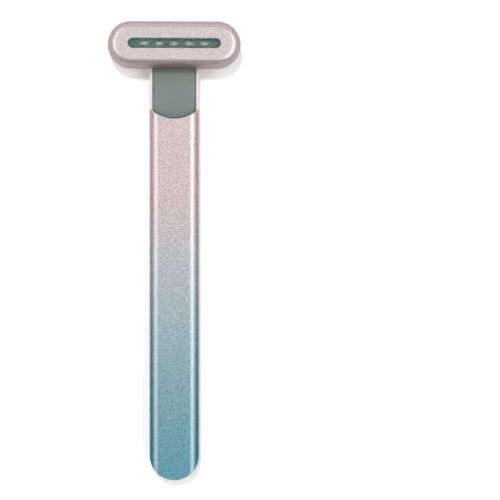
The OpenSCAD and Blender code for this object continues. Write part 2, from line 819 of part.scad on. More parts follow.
// Base plate with the pivot bore, stop pin, board posts and motor cradle
module head_base() {
    cradle_y = base_w / 2 - gasket_w - touch_gap - cradle_w;
    color("#a79fa2") difference() {
        union() {
            at_pivot() plate(head_z, base_top) stadium(base_l, base_w);
            at_pivot() translate([0, -stop_r, insert_top - slot_depth + 0.4])
                cylinder(d = stop_pin_d, h = head_z - insert_top + slot_depth);
            for (side = [-1, 1]) at_pivot() translate([side * post_x, 0, base_top - base_t / 2])
                cylinder(r = post_r, h = led_board_z - base_top + base_t / 2);
            for (x = [motor_x + 1, motor_x + motor_len - 1 - cradle_t])
                at_pivot() translate([x, cradle_y, base_top - base_t / 2])
                    cube([cradle_t, cradle_w, motor_z - 0.4 - base_top + base_t / 2]);
        }
        at_pivot() cylinder(r = pivot_d / 2 + pivot_gap, h = 2 * handle_t);
        at_motor() rotate([0, 90, 0]) cylinder(r = motor_r + 0.03, h = head_span / 2 - cap_wall);
        at_bosses() cylinder(r = screw_r + slide_gap, h = 2 * handle_t);
        at_bosses() cylinder(r = screw_head_r + touch_gap, h = head_z + screw_head_h + 0.1);
    }
}

module head_gasket() {
    color("#3c3c3e") at_pivot() plate(base_top, ledge_z) difference() {
        stadium(base_l, base_w);
        stadium(base_l - 2 * gasket_w, base_w - 2 * gasket_w);
        for (side = [-1, 1]) translate([side * boss_x, 0]) circle(boss_r + touch_gap);
    }
}

module head_screws() {
    seat = head_z + screw_head_h + 0.1;
    color("silver") at_bosses() translate([0, 0, seat])
        screw(screw_r, ceiling_z - 1.5 - seat, screw_head_r, screw_head_h);
}

handle_sleeve();
neck_insert();
end_plug();
battery_sled();
main_board();
board_chips();
battery_cell();
battery_pad();
battery_leads();
head_leads();
usb_shell();
usb_tongue();
tact_switch();
board_screws();
pivot_tube();
pivot_washer();
cone_washer();
pivot_clip();
pivot_screws();
power_button();
switch_plunger();
head_cap();
window_lens();
led_board();
led_chips();
heater_film();
thermistor();
heater_leads();
motor_can();
motor_leads();
motor_shaft();
motor_weight();
head_base();
head_gasket();
head_screws();
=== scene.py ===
"""Heated eye massager wand: the finish of every piece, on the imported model.

Sizes are in millimetres. X runs across the handle, Y towards the head, and Z out of the front face.
"""

import json
import math

import bmesh
import bpy
from mathutils import Euler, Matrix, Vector


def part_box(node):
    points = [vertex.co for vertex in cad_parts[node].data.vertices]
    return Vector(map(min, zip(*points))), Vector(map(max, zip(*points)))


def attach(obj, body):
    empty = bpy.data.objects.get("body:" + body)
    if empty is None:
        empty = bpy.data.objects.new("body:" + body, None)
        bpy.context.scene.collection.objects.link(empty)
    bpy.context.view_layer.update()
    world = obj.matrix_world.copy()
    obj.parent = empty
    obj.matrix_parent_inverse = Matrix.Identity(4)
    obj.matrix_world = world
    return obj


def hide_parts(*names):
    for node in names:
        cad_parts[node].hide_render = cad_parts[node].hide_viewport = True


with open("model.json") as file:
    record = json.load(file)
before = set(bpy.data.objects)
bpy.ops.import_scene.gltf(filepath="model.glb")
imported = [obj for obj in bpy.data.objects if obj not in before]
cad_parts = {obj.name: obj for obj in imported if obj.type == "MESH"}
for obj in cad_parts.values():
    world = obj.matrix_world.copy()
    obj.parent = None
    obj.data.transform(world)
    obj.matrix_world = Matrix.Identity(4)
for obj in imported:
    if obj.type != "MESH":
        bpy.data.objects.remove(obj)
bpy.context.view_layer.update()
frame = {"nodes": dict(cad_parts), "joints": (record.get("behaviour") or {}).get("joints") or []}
MM = 0.001

# ---- Camera ----
# The wand is seen from straight above its middle, from about 0.6 m away. It lies left of the middle
# of the frame, so the camera stands over the wand's middle line and is turned a little to the right.
frame_px = 500
mm_per_px = 0.3265      # at half the handle's thickness
half_thickness = 5
wand_column = 174.3     # where the wand's middle line crosses the frame
wand_row = 250.8        # where the middle of its length crosses the frame
camera_height = 600     # above half the handle's thickness
sensor_width = 36

eye = bpy.data.cameras.new("camera")
eye.sensor_width = sensor_width
eye.lens = sensor_width * camera_height / (frame_px * mm_per_px)
camera = bpy.data.objects.new("camera", eye)
aside = (frame_px / 2 - wand_column) * mm_per_px
camera.location = Vector((0, (wand_row - frame_px / 2) * mm_per_px, half_thickness + camera_height)) * MM
camera.rotation_euler = (0, -math.atan(aside / camera_height), 0)
bpy.context.scene.collection.objects.link(camera)
bpy.context.scene.camera = camera
bpy.context.scene.view_settings.view_transform = "Standard"

# ---- Handle tube ----
# An extruded aluminium tube with a satin sparkle lacquer that fades from rose to teal. Both ends are
# cut to a half round, and the front is milled away above two rails. The cuts are left bright, apart
# from the foot's, which is lacquered with the rest.


def corners(node):
    """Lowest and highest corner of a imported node, in millimetres."""
    low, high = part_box(node)
    return low / MM, high / MM


class Signal:
    """What a node gives out. Arithmetic on it adds Math nodes."""

    def __init__(self, net, socket):
        self.net = net
        self.socket = socket

    def math(self, operation, *others):
        """A Math node on this value and the others, in this order."""
        values = dict(enumerate((self,) + others))
        return self.net.node("ShaderNodeMath", {"operation": operation}, values)

    def __add__(self, other):
        return self.math("ADD", other)

    def __sub__(self, other):
        return self.math("SUBTRACT", other)

    def __rsub__(self, other):
        return self * -1.0 + other

    def __mul__(self, other):
        return self.math("MULTIPLY", other)

    def __truediv__(self, other):
        return self.math("DIVIDE", other)

    def __rtruediv__(self, other):
        return self.math("POWER", -1.0) * other

    __radd__ = __add__
    __rmul__ = __mul__


class Net:
    """A node tree in the making."""

    def __init__(self, tree):
        self.tree = tree

    def feed(self, socket, value):
        if isinstance(value, Signal):
            self.tree.links.new(value.socket, socket)
        else:
            socket.default_value = value

    def node(self, kind, settings=None, values=None, output=0):
        """Adds a node, makes its settings, feeds its sockets and gives back one of its outputs."""
        made = self.tree.nodes.new(kind)
        for name, setting in (settings or {}).items():
            if name == "stops":
                while len(made.color_ramp.elements) < len(setting):
                    made.color_ramp.elements.new(1)
                for element, (position, colour) in zip(made.color_ramp.elements, setting):
                    element.position = position
                    element.color = colour
            else:
                setattr(made, name, setting)
        for key, value in (values or {}).items():
            self.feed(made.inputs[key], value)
        return Signal(self, made.outputs[output])

    def part(self, vector, axis):
        return self.node("ShaderNodeSeparateXYZ", None, {"Vector": vector}, axis)

    def mix(self, amount, first, second, blend="MIX"):
        settings = {"data_type": "RGBA", "blend_type": blend}
        return self.node("ShaderNodeMix", settings, {0: amount, 6: first, 7: second}, 2)

    def rise(self, value, start, end, lowest=0.0):
        """Goes softly from its lowest to 1 while a value goes from start to end."""
        return self.node("ShaderNodeMapRange", {"interpolation_type": "SMOOTHSTEP"},
                         {"Value": value, "From Min": start, "From Max": end, "To Min": lowest})


class Look(Net):
    """One finish: a material, and the shader that its values are put on."""

    def __init__(self, name, values):
        self.material = bpy.data.materials.new(name)
        self.material.use_nodes = True
        super().__init__(self.material.node_tree)
        self.shader = self.tree.nodes["Principled BSDF"]
        self.place = self.node("ShaderNodeTexCoord", output="Object")
        self.put(values)

    def put(self, values):
        for name, value in values.items():
            self.feed(self.shader.inputs[name], value)

    def along(self, axis):
        return self.part(self.place, axis)

    def noise(self, scale, detail=2, place=None):
        values = {"Vector": place or self.place, "Scale": scale, "Detail": detail}
        return self.node("ShaderNodeTexNoise", None, values)

    def stretched(self, scale):
        """Object coordinates scaled by a different amount along each axis."""
        return self.node("ShaderNodeMapping", None, {"Vector": self.place, "Scale": scale})

    def bump(self, height, strength, depth):
        """Raises the surface by up to a depth in millimetres."""
        values = {"Height": height, "Strength": strength, "Distance": depth * MM}
        self.put({"Normal": self.node("ShaderNodeBump", None, values)})


def shade(red, green, blue):
    """Linear colour of an sRGB colour given from 0 to 255."""
    channels = [c / 255 for c in (red, green, blue)]
    return tuple(c / 12.92 if c <= 0.04045 else ((c + 0.055) / 1.055) ** 2.4 for c in channels) + (1,)


def toned(colour, factor):
    """A colour made lighter or darker by a factor."""
    return tuple(min(c * factor, 1) for c in colour[:3]) + (1,)


def sparkle(look, colour, depth, face, side, contrast):
    """Satin lacquer with fine metal flakes, a highlight painted pale just inside an edge's rounding, and
    shade painted darker and deeper down the sides.

    The depth is measured from the face, in millimetres: above the depth "face" the lacquer is as on the
    face, and below the depth "side" it has the full painted shade of a side. The contrast is that of the
    flakes.
    """
    highlight_depth = 0.1        # where the painted highlight reaches its full strength
    painted_highlight_paleness = 0.22    # share of pale near-white painted in as the highlight
    highlight_grain_calm = 0.6         # share of the flakes' contrast lost under the painted highlight
    # Painted shade down the sides: how much the colour deepens there, and how much it darkens
    painted_shade_richness = 0.9
    painted_shade_dimness = 0.16
    cloud_share = 0.6       # of the clouds beside the flakes

    # Goes from 0 on the face to 1 down a side, and carries the painted shade
    turned = look.rise(depth, face, side)
    # A band just inside each rounding, painted pale as a highlight
    painted_highlight = look.rise(depth, 0.0, highlight_depth) * (1.0 - look.rise(depth, face * 0.5, (face + side) / 2))
    # The colour times itself, the deeper tone of the painted side shade
    shaded_colour = look.mix(1.0, colour, colour, "MULTIPLY")
    # The lacquer's colour with the painted side shade, and pale near-white mixed in as a painted highlight
    lacquer = look.mix(painted_highlight_paleness * painted_highlight, look.mix(painted_shade_richness * turned, colour, shaded_colour),
                       shade(236, 238, 240))
    flakes = look.node("ShaderNodeTexVoronoi", None, {"Vector": look.place, "Scale": 3900}, "Color")
    glint = look.node("ShaderNodeSeparateColor", None, {"Color": flakes})
    cloud = look.noise(3600)
    speckle = (glint - 0.5) + (cloud - 0.5) * cloud_share
    # The tone also darkens the sides, as painted shade
    tone = speckle * (contrast - highlight_grain_calm * contrast * painted_highlight) + 1.0 - painted_shade_dimness * turned
    tint = look.node("ShaderNodeCombineColor", None, {0: tone, 1: tone, 2: tone})
    look.put({"Base Color": look.mix(1.0, lacquer, tint, "MULTIPLY"), "Roughness": 0.33 + 0.12 * cloud})
    look.bump(cloud, strength=0.3, depth=0.008)


def bright_edge(name):
    """Bare aluminium where a cutter went through the lacquer."""
    look = Look(name, {"Metallic": 0.3})
    streak = look.noise(900)
    look.put({"Base Color": look.mix(streak, shade(214, 200, 204), shade(234, 222, 226)),
              "Roughness": 0.3 + 0.1 * streak})
    return look


tube_low, tube_high = corners("handle_sleeve")
tube_w = tube_high.x - tube_low.x
tube_t = tube_high.z - tube_low.z
tube_wall = 0.9
edge_r = 3.2
cut_chamfer = 0.25
rail_h = 5.5
notch_h = 0.35          # relief at the foot of each rail, against the arc
notch_l = 0.35
end_ease = 0.05         # the round ends are this much fuller than a half circle
end_r = tube_w / 2 + end_ease
foot_cy = tube_low.y + end_r
tongue_cy = tube_high.y - end_r
swivel = next(joint for joint in frame["joints"] if joint["name"] == "head_swivel")
pivot_y = swivel["pos_m"][1] / MM
head_low, head_high = corners("head_cap")
neck_gap = 2.5          # from the head, turned in line, to the arc
neck_arc_r = 11.1
neck_cy = pivot_y - (head_high.x - head_low.x) / 2 - neck_gap + neck_arc_r

metal_lacquer = {"Metallic": 0.8, "Specular Tint": (0.7, 0.7, 0.7, 1)}
tube_finish = Look("tube_finish", metal_lacquer)
along_tube = (tube_finish.along("Y") / MM - tube_low.y) / (tube_high.y - tube_low.y)
fade = tube_finish.node("ShaderNodeValToRGB", {"stops": [
    (0.03, shade(102, 155, 168)),
    (0.19, shade(130, 165, 174)),
    (0.34, shade(158, 179, 186)),
    (0.47, shade(185, 188, 192)),
    (0.6, shade(207, 192, 194)),
    (0.77, shade(212, 196, 197)),
]}, {0: along_tube})
tube_depth = tube_t / 2 - (tube_finish.along("Z") / MM - tube_t / 2).math("ABSOLUTE")
# Painted shade down the tube's sides, and a painted highlight inside each rounding
sparkle(tube_finish, fade, tube_depth, face=0.4, side=1.2, contrast=0.52)
tube_edge = bright_edge("tube_edge")


def half_chord(radius, x):
    """How far a round cut reaches from its centre line, at a distance x beside its centre."""
    return math.sqrt(max(radius ** 2 - x ** 2, 0))


def round_end(centre_y, radius, towards):
    """Where a round cut about a point on the middle line ends at x, towards the head (1) or foot (-1)."""
    return lambda x: centre_y + towards * half_chord(radius, x)


foot_end = round_end(foot_cy, end_r, -1)
arc_end = round_end(neck_cy, neck_arc_r, -1)
tongue_end = round_end(tongue_cy, end_r, 1)


def tube_outline(inset, edge_steps=14, flat_steps=26):
    """The tube's section in two runs of (x, z): over the front from rail to rail, and round the back."""
    half_w = tube_w / 2 - inset
    half_t = tube_t / 2 - inset
    r = edge_r - inset
    flat = half_w - r
    rise = half_t - r

    def rounding(side_x, side_z, start):
        angles = [math.radians(start + 90 * k / edge_steps) for k in range(edge_steps + 1)]
        return [(side_x * flat + r * math.cos(a), tube_t / 2 + side_z * rise + r * math.sin(a))
                for a in angles]

    across = [flat - 2 * flat * k / flat_steps for k in range(1, flat_steps)]
    front = [(half_w, rail_h)] + rounding(1, 1, 0)
    front += [(x, tube_t / 2 + half_t) for x in across] + rounding(-1, 1, 90) + [(-half_w, rail_h)]
    back = rounding(-1, -1, 180) + [(-x, tube_t / 2 - half_t) for x in across] + rounding(1, -1, 270)
    return front, back


def strip(shape, first, second, closed=False):
    """Faces between two rows of equally many corners."""
    count = len(first)
    for k in range(count if closed else count - 1):
        n = (k + 1) % count
        shape.faces.new((first[k], first[n], second[n], second[k]))


def tube_skin(shape, inset, tube_rows=30, neck_rows=8):
    """Rows of corners from the foot to the arc, and from there along the neck to its end."""
    front, back = tube_outline(inset)
    rail_start = arc_end(tube_w / 2)
    ends = [(x, z, arc_end(x)) for x, z in front] + [(x, z, rail_start) for x, z in back]
    tube = []
    for row in range(tube_rows + 1):
        share = row / tube_rows
        tube.append([shape.verts.new(Vector((x, foot_end(x) + (end - foot_end(x)) * share, z)) * MM)
                     for x, z, end in ends])
    neck = [tube[-1][len(front) - 1:] + [tube[-1][0]]]
    for end in (0, -1):     # each rail starts from its notch
        neck[0][end].co.z -= notch_h * MM
    notch_share = notch_l / (tongue_cy - rail_start)
    for share in [notch_share] + [row / neck_rows for row in range(1, neck_rows + 1)]:
        neck.append([shape.verts.new(Vector((x, rail_start + (tongue_end(x) - rail_start) * share, z)) * MM)
                     for x, z in [front[-1]] + back + [front[0]]])
    for near, far in zip(tube, tube[1:]):
        strip(shape, near, far, closed=True)
    for near, far in zip(neck, neck[1:]):
        strip(shape, near, far)
    return tube, neck, tube[-1][:len(front)]


def shade_softly(mesh, smooth_below=32):
    """Shades a mesh softly across angles below so many degrees, and sharply across the others."""
    mesh.shade_smooth()
    mesh.set_sharp_from_angle(angle=math.radians(smooth_below))


def finished(name, shape, looks):
    """Turns a closed shape into a piece, with its faces outwards."""
    bmesh.ops.remove_doubles(shape, verts=shape.verts, dist=1e-7)
    bmesh.ops.recalc_face_normals(shape, faces=shape.faces)
    mesh = bpy.data.meshes.new(name)
    shape.to_mesh(mesh)
    shape.free()
    for look in looks:
        mesh.materials.append(look.material)
    shade_softly(mesh)
    made = bpy.data.objects.new(name, mesh)
    bpy.context.scene.collection.objects.link(made)
    return made


def settle(made):
    """Makes a piece's modifiers part of its mesh, and evens the shading of its flat faces."""
    graph = bpy.context.evaluated_depsgraph_get()
    mesh = bpy.data.meshes.new_from_object(made.evaluated_get(graph))
    mesh.name = made.name
    made.modifiers.clear()
    made.data = mesh
    shade_softly(mesh)
    made.modifiers.new("even_shading", "WEIGHTED_NORMAL").keep_sharp = True


def chamfer(made, width, look):
    """Chamfers the edges that carry a bevel weight, in one of the piece's looks."""
    modifier = made.modifiers.new("chamfer", "BEVEL")
    modifier.limit_method = "WEIGHT"
    modifier.offset_type = "OFFSET"
    modifier.width = width * MM
    modifier.material = look


def cut(made, cutters, operation="DIFFERENCE"):
    """Cuts other shapes out of a piece, or joins them to it, and takes them away."""
    for cutter in cutters:
        modifier = made.modifiers.new(operation.lower(), "BOOLEAN")
        modifier.operation = operation
        modifier.solver = "EXACT"
        modifier.object = cutter
    settle(made)
    for cutter in cutters:
        bpy.data.objects.remove(cutter)


def stadium(length, width, round_steps=32, side_steps=10):
    """Points (u, v) round an outline with straight sides and half-round ends, long along u."""
    r = width / 2
    straight = length / 2 - r
    points = []
    for side in (1, -1):
        for k in range(round_steps + 1):
            a = math.radians(-90 + 180 * k / round_steps)
            points.append((side * (straight + r * math.cos(a)), side * r * math.sin(a)))
        for k in range(1, side_steps):
            points.append((side * straight * (1 - 2 * k / side_steps), side * r))
    return points


def loft(name, loops, looks, ring=False, looks_of_bands=None):
    """A closed piece over loops of equally many points: a ring of them, or a row with flat ends."""
    shape = bmesh.new()
    rows = [[shape.verts.new(Vector([round(c, 6) for c in point]) * MM) for point in loop]
            for loop in loops]
    for band, (near, far) in enumerate(zip(rows, rows[1:] + rows[:1] if ring else rows[1:])):
        before = len(shape.faces)
        strip(shape, near, far, closed=True)
        shape.faces.ensure_lookup_table()
        for face in shape.faces[before:]:
            face.material_index = (looks_of_bands or {}).get(band, 0)
    if not ring:
        shape.faces.new(rows[0])
        shape.faces.new(rows[-1])
    return finished(name, shape, looks)


shape = bmesh.new()
bevel_weight = shape.edges.layers.float.new("bevel_weight_edge")
outer_tube, outer_neck, outer_arc = tube_skin(shape, 0)
inner_tube, inner_neck, inner_arc = tube_skin(shape, tube_wall)
strip(shape, outer_tube[0], inner_tube[0], closed=True)
strip(shape, outer_arc, inner_arc)
strip(shape, outer_neck[-1], inner_neck[-1])
rails = [[row[end] for row in neck] for neck in (outer_neck, inner_neck) for end in (0, -1)]
first_bare = len(shape.faces)
for outer_rail, inner_rail in zip(rails[:2], rails[2:]):
    strip(shape, outer_rail, inner_rail)
shape.faces.ensure_lookup_table()
for face in shape.faces[first_bare:]:
    face.material_index = 1
tip_share = 0.8         # of the full chamfer
inner_share = 0.3
rail_share = 0.35
weighted = [(outer_tube[0] + outer_tube[0][:1], 1), (outer_arc, 1), (outer_neck[-1], tip_share)]
weighted += [(inner_tube[0] + inner_tube[0][:1], inner_share), (inner_arc, inner_share)]
weighted += [(rail, rail_share) for rail in rails]
for row, weight in weighted:
    for near, far in zip(row, row[1:]):
        shape.edges.get((near, far))[bevel_weight] = weight
tube = finished("tube", shape, [tube_finish, tube_edge])
chamfer(tube, cut_chamfer, look=1)

button_low, button_high = corners("power_button")
button_y = (button_low.y + button_high.y) / 2
button_lap = 0.8        # flange behind the tube's wall
button_gap = 0.12
button_l = button_high.y - button_low.y - 2 * button_lap
button_w = button_high.x - button_low.x - 2 * button_lap
hole_chamfer = 0.3
past = 1                # how far a cutter reaches past what it cuts


def back_loop(length, width, z):
    """A stadium on the back of the tube, long along the tube and round the button's centre."""
    return [(-v, button_y + u, z) for u, v in stadium(length, width)]


hole_l = button_l + 2 * button_gap
hole_w = button_w + 2 * button_gap
wide = 2 * (hole_chamfer + past)
button_hole = loft("button_hole", [
    back_loop(hole_l + wide, hole_w + wide, -past),
    back_loop(hole_l, hole_w, hole_chamfer),
    back_loop(hole_l, hole_w, tube_wall + past),
], [tube_edge])
cut(tube, [button_hole])
for face in tube.data.polygons:     # the foot's cut edge is lacquered
    if face.center.y < foot_cy * MM:
        face.material_index = 0
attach(tube, "handle")
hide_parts("handle_sleeve")

# ---- Neck insert ----
# Moulded from grey-green plastic with a fine matte grain. Its lid fills the neck between the rails,
# and a curved bulkhead behind the arc closes the tube. It slides in from the head's end.


def moulded(name, colour, roughness=0.5, grain=0.02, spread=0.06):
    """Moulded plastic: fine spark-eroded grain, with a slight unevenness in colour and gloss."""
    grit_share = 0.3
    gloss_spread = 0.12
    look = Look(name, {})
    grit = look.noise(5200)
    cloud = look.noise(160, 3)
    tone = cloud * (1 - grit_share) + grit * grit_share
    look.put({"Base Color": look.mix(tone, toned(colour, 1 - spread), toned(colour, 1 + spread)),
              "Roughness": roughness - gloss_spread / 2 + gloss_spread * grit})
    look.bump(grit, strength=0.3, depth=grain)
    return look


def columns(half_w, *levels, steps=40):
    """Upright columns (x, z, z, ...) from one side of a piece to the other, closer at the sides."""
    spots = [-math.cos(math.pi * k / steps) * half_w for k in range(steps + 1)]
    return [(x, *[level(x) for level in levels]) for x in spots]


def even(value):
    """The same height, or the same end, at every x."""
    return lambda x: value


def upright(name, stand, near, far, looks):
    """A closed piece over columns, from y = near(x) to y = far(x)."""
    loops = [[(x, near(x), z) for z in levels] + [(x, far(x), z) for z in reversed(levels)]
             for x, *levels in stand]
    return loft(name, loops, looks)


def bar_side(half_w, half_t, r):
    """How far the section of a bar with rounded edges reaches from its middle height, at x."""
    def reach(x):
        return half_t - r + half_chord(r, max(abs(x) - (half_w - r), 0))
    return reach


neck_plastic = moulded("neck_plastic", shade(109, 121, 116), roughness=0.55, grain=0.03, spread=0.12)
insert_low, insert_high = corners("neck_insert")
slide_gap = 0.05
slide_w = tube_w / 2 - tube_wall - slide_gap
slide_t = tube_t / 2 - tube_wall - slide_gap
slide_side = bar_side(slide_w, slide_t, edge_r - tube_wall - slide_gap)
middle_z = tube_t / 2
plug_recess = 0.15      # end faces lie this far inside the tube's cut ends
plug_r = end_r - plug_recess
insert_proud = 0.2      # above the rails
insert_top = rail_h + insert_proud
lid_t = 0.8
lid_gap = 0.25
lid_half = tube_w / 2 - tube_wall - lid_gap
lid_chamfer = 0.15
bulkhead_t = 1.6


def slide_bottom(x):
    return middle_z - slide_side(x)


def slide_top(x):
    return middle_z + slide_side(x)


def lid_height(x):
    return insert_top - max(abs(x) - (lid_half - lid_chamfer), 0)


lid_z = insert_top - lid_t
shoulder = [(x, slide_bottom(x), lid_z, lid_z) for x in (lid_half, (lid_half + slide_w) / 2, slide_w)]
insert_stand = [(-x, *levels) for x, *levels in reversed(shoulder)]
insert_stand += columns(lid_half, slide_bottom, even(lid_z), lid_height) + shoulder
insert = upright("insert", insert_stand, even(insert_low.y), round_end(tongue_cy, plug_r, 1),
                 [neck_plastic])
bulkhead_r = neck_arc_r + plug_recess
bulkhead_play = 0.01    # keeps its sides off the insert's own
bulkhead_root = 0.3     # how far it reaches into the insert
bulkhead = upright("bulkhead",
                   columns(slide_w - bulkhead_play, even(lid_z - bulkhead_root), slide_top),
                   round_end(neck_cy, bulkhead_r + bulkhead_t, -1), round_end(neck_cy, bulkhead_r, -1),
                   [neck_plastic])
cut(insert, [bulkhead], "UNION")


def turns(steps=40):
    """Angles evenly round a circle."""
    return [2 * math.pi * k / steps for k in range(steps)]


def rod(name, x, y, r, low, high, look):
    """An upright round rod, as a cutter or to be joined to a piece."""
    return loft(name, [[(x + r * math.cos(t), y + r * math.sin(t), z) for t in turns()]
                       for z in (low, high)], [look])


def curved_bar(name, centre_y, inner_r, outer_r, turn, low, high, steps):
    """A square bar along an arc about a point on the middle line, turned to each side of -Y."""
    loops = []
    for k in range(steps + 1):
        a = math.radians(-90 - turn + 2 * turn * k / steps)
        loops.append([(r * math.cos(a), centre_y + r * math.sin(a), z) for r, z in (
            (inner_r, low), (outer_r, low), (outer_r, high), (inner_r, high))])
    return loft(name, loops, [neck_plastic])


pivot_r = 3
pivot_gap = 0.05
pivot_hole = rod("pivot_hole", 0, pivot_y, pivot_r + pivot_gap, -past, tube_t, neck_plastic)
stop_r = 5.2            # slot in which the head's stop pin runs
slot_half = 0.7
slot_depth = 1
slot_turn = 97.6        # degrees to each side of the pin's middle place
stop_slot = curved_bar("stop_slot", pivot_y, stop_r - slot_half, stop_r + slot_half, slot_turn,
                       insert_top - slot_depth, insert_top + past, 48)
relief_in = 0.1         # groove in the lid along the arc, so that the plastic clears the cut edge
relief_w = 0.55
relief_depth = 0.4
relief_turn = 52        # degrees
relief_r = neck_arc_r - relief_in
arc_relief = curved_bar("arc_relief", neck_cy, relief_r - relief_w, relief_r, relief_turn,
                        insert_top - relief_depth, insert_top + past, 40)
duct_wall = 1.2
duct_half = slide_w + slide_gap - duct_wall
duct_top = 4.1
duct_end = 2            # from the insert's round end
duct = upright("duct", columns(duct_half, even(-past), even(duct_top)), even(insert_low.y - past),
               round_end(tongue_cy, plug_r - duct_end, 1), [neck_plastic])
cut(insert, [duct, pivot_hole, stop_slot, arc_relief])
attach(insert, "handle")
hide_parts("neck_insert")

# ---- End plug and charging socket ----
# The plug is moulded from grey-teal plastic and is pressed into the foot. The socket behind its
# opening is a drawn steel shell round a black tongue with a row of gilt contacts on both faces.
plug_plastic = moulded("plug_plastic", shade(98, 134, 142), grain=0.015, spread=0.04)
plug_low, plug_high = corners("end_plug")
port_low, port_high = corners("usb_shell")
port_gap = 0.08
port_w = port_high.x - port_low.x
port_h = port_high.z - port_low.z
port_z = (port_low.z + port_high.z) / 2


def port_loop(inset, y):
    """The socket's outline at y, drawn in by an inset."""
    outline = stadium(port_w - 2 * inset, port_h - 2 * inset, round_steps=20, side_steps=8)
    return [(u, y, port_z + v) for u, v in outline]


plug = upright("plug", columns(slide_w, slide_bottom, slide_top), round_end(foot_cy, plug_r, -1),
               even(plug_high.y), [plug_plastic])
port_hole = loft("port_hole", [port_loop(-port_gap, plug_low.y - past),
                               port_loop(-port_gap, plug_high.y + past)], [plug_plastic])
board_low, board_high = corners("main_board")
board_play = 0.1
board_space = columns(board_high.x + board_play, even(board_low.z - board_play),
                      even(board_high.z + board_play), steps=4)
board_slot = upright("board_slot", board_space, even(board_low.y - board_play),
                     even(plug_high.y + past), [plug_plastic])
cut(plug, [port_hole, board_slot])
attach(plug, "handle")
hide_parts("end_plug")


def rolled(name, colour, roughness, fineness=900):
    """Bare metal with a fine directional polish."""
    look = Look(name, {"Metallic": 1.0})
    polish = look.noise(fineness, 3, look.stretched((1, 0.12, 1)))
    look.put({"Base Color": look.mix(polish, toned(colour, 0.9), toned(colour, 1.06)),
              "Roughness": roughness + 0.12 * polish})
    look.bump(polish, strength=0.15, depth=0.004)
    return look


socket_steel = rolled("socket_steel", shade(196, 198, 202), roughness=0.26)
shell_wall = 0.3
lip = 0.1
lip_ease = 0.3 * lip
port_back = port_high.y
back_inset = 0.45 * port_h      # leaves a slit in the shell's back
socket_shell = loft("socket_shell", [
    port_loop(lip, port_low.y), port_loop(lip_ease, port_low.y + lip_ease),
    port_loop(0, port_low.y + lip), port_loop(0, port_back - lip),
    port_loop(lip, port_back), port_loop(back_inset, port_back),
    port_loop(back_inset, port_back - shell_wall), port_loop(shell_wall, port_back - shell_wall),
    port_loop(shell_wall, port_low.y + lip), port_loop(shell_wall - lip + lip_ease, port_low.y + lip_ease),
    port_loop(shell_wall - lip, port_low.y),
], [socket_steel], ring=True)
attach(socket_shell, "handle")
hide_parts("usb_shell")

socket_plastic = moulded("socket_plastic", shade(38, 39, 42), roughness=0.45, grain=0.006)
tongue_low, tongue_high = corners("usb_tongue")
block_l = 1.3
block_y = tongue_high.y - block_l
block_gap = 0.02
blade_w = 6.7
blade_t = 0.7
blade_nose = 0.5        # over which the blade swells to its full section
blade_root = 0.2        # how far it reaches into the block


def rounded(half_l, half_w, r, steps):
    """Points (u, v) round a rectangle with rounded corners."""
    points = []
    for side_u, side_v, start in ((1, 1, 0), (-1, 1, 90), (-1, -1, 180), (1, -1, 270)):
        for k in range(steps + 1):
            a = math.radians(start + 90 * k / steps)
            points.append((side_u * (half_l - r) + r * math.cos(a),
                           side_v * (half_w - r) + r * math.sin(a)))
    return points


def blade_loop(inset_w, inset_t, y, r=0.2):
    """The blade's outline at y, drawn in across its width and its thickness."""
    outline = rounded(blade_w / 2 - inset_w, blade_t / 2 - inset_t, r, 5)
    return [(u, y, port_z + v) for u, v in outline]


blade = loft("blade", [
    blade_loop(0.35, 0.15, tongue_low.y, 0.15), blade_loop(0.08, 0.04, tongue_low.y + 0.22),
    blade_loop(0, 0, tongue_low.y + blade_nose), blade_loop(0, 0, block_y + blade_root),
], [socket_plastic])
block_inset = shell_wall + block_gap
tongue = loft("socket_tongue", [port_loop(block_inset, block_y), port_loop(block_inset, tongue_high.y)],
              [socket_plastic])
cut(tongue, [blade], "UNION")
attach(tongue, "handle")
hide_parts("usb_tongue")


def grow_net(name, sizes):
    """A Geometry Nodes tree with a named input for each size: its net, and what each input gives."""
    tree = bpy.data.node_groups.new(name, "GeometryNodeTree")
    tree.interface.new_socket("Geometry", in_out="INPUT", socket_type="NodeSocketGeometry")
    for size, kind in sizes.items():
        tree.interface.new_socket(size, in_out="INPUT", socket_type="NodeSocket" + kind)
    tree.interface.new_socket("Geometry", in_out="OUTPUT", socket_type="NodeSocketGeometry")
    net = Net(tree)
    source = tree.nodes.new("NodeGroupInput")
    return net, {label: Signal(net, source.outputs[label]) for label in ["Geometry", *sizes]}


def close_net(net, grown, finish):
    """Ends a tree with plain geometry in one finish."""
    plain = net.node("GeometryNodeRealizeInstances", None, {"Geometry": grown})
    coated = net.node("GeometryNodeSetMaterial", None, {"Geometry": plain, "Material": finish})
    outlet = net.tree.nodes.new("NodeGroupOutput")
    net.tree.links.new(coated.socket, outlet.inputs[0])


def grow(seed, tree, values):
    """Runs a tree on a seed piece with the given values, and keeps the result as its plain mesh."""
    modifier = seed.modifiers.new("grow", "NODES")
    modifier.node_group = tree
    for item in tree.interface.items_tree:
        if item.in_out == "INPUT" and item.name in values:
            modifier[item.identifier] = values[item.name]
    settle(seed)
    return seed


# A straight row of copies of the seed piece
row_net, row = grow_net("row_of_like_pieces", {"Count": "Int", "First": "Vector", "Step": "Vector",
                                               "Finish": "Material"})
places = row_net.node("GeometryNodeMeshLine", None,
                      {"Count": row["Count"], "Start Location": row["First"], "Offset": row["Step"]})
copies = row_net.node("GeometryNodeInstanceOnPoints", None, {"Points": places, "Instance": row["Geometry"]})
close_net(row_net, copies, row["Finish"])

